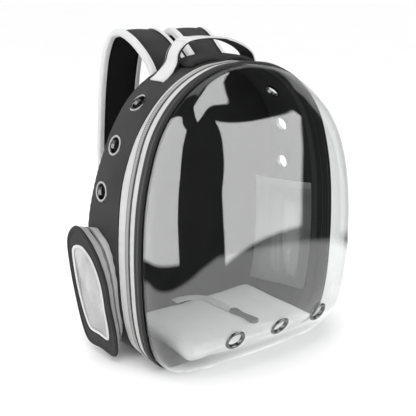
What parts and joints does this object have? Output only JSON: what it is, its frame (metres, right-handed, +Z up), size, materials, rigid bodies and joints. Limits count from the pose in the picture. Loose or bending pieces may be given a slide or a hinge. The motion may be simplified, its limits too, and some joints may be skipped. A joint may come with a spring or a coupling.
{
  "type": "pet carrier backpack",
  "caption": "Pet carrier backpack with a clear domed front, an oval cloth body with side net windows, a floor cushion, a grab handle and padded shoulder straps.",
  "frame": {"origin": "middle of the gusset's flat underside, halfway between the bag's sides", "axes": "-Y is the way the clear dome faces, +Y the side worn against the back, +X to the right when looking at the dome, +Z up"},
  "size_m": [0.379, 0.3056, 0.4102],
  "materials": {
    "black_cloth": "woven, matt",
    "binding_cloth": "smooth folded tape",
    "grey_tape": "fine woven tape",
    "zip_coil": "ribbed coil",
    "clear_dome": "clear, gloss",
    "eyelet_metal": "polished",
    "net": "light net",
    "mat_cloth": "soft, matt",
    "light_webbing": "herringbone webbing",
    "black_plastic": "moulded"
  },
  "bodies": {
    "root": {"gusset": "black_cloth", "back_panel": "black_cloth", "top_pad": "black_cloth", "rim_binding": "binding_cloth", "main_tape_rear": "grey_tape", "main_tape_front": "grey_tape", "main_zip_coil": "zip_coil", "bubble": "clear_dome", "inner_pocket": "net", "floor_mat": "mat_cloth", "leash_web": "grey_tape", "leash_clip": "black_plastic", "handle_backing": "black_cloth", "handle_web": "light_webbing", "bubble_eyelet_1": "eyelet_metal", "side_eyelet_left_1": "eyelet_metal", "side_eyelet_right_1": "eyelet_metal", "bubble_eyelet_2": "eyelet_metal", "side_eyelet_left_2": "eyelet_metal", "side_eyelet_right_2": "eyelet_metal", "bubble_eyelet_3": "eyelet_metal", "side_eyelet_left_3": "eyelet_metal", "side_eyelet_right_3": "eyelet_metal", "window_tape_inner_left": "grey_tape", "window_coil_left": "zip_coil", "window_tape_outer_left": "grey_tape", "window_frame_left": "black_cloth", "window_net_left": "net", "strap_pad_left": "black_cloth", "strap_binding_outer_left": "light_webbing", "strap_binding_inner_left": "light_webbing", "strap_web_left": "light_webbing", "strap_adjuster_left": "black_plastic", "window_tape_inner_right": "grey_tape", "window_coil_right": "zip_coil", "window_tape_outer_right": "grey_tape", "window_frame_right": "black_cloth", "window_net_right": "net", "strap_pad_right": "black_cloth", "strap_binding_outer_right": "light_webbing", "strap_binding_inner_right": "light_webbing", "strap_web_right": "light_webbing", "strap_adjuster_right": "black_plastic"}
  },
  "joints": []
}
